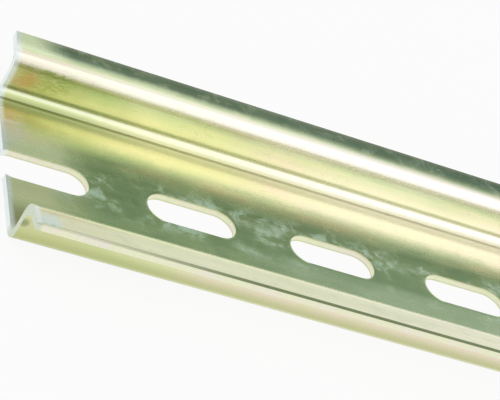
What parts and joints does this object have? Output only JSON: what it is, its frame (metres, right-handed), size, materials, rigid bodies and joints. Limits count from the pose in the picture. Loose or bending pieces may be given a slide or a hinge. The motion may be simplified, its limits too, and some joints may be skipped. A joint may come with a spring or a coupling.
{
  "type": "din rail",
  "caption": "Slotted top-hat mounting rail of bent zinc-plated steel, 35 mm wide and 7.5 mm high, that devices clip onto.",
  "frame": {"origin": "middle of the flat back of the web, on the surface that the rail lies on", "axes": "+X along the rail, away from the end that the picture shows; +Y across the rail, towards the upper flange in the picture; +Z from the back of the web out of the open side"},
  "size_m": [0.5, 0.035, 0.0075],
  "materials": {
    "zinc_plated_steel": "zinc plated with a pale yellow passivation, semi-gloss, darker green and pinkish where it turns away from the light"
  },
  "bodies": {
    "root": {"din_rail": "zinc_plated_steel"}
  },
  "joints": []
}
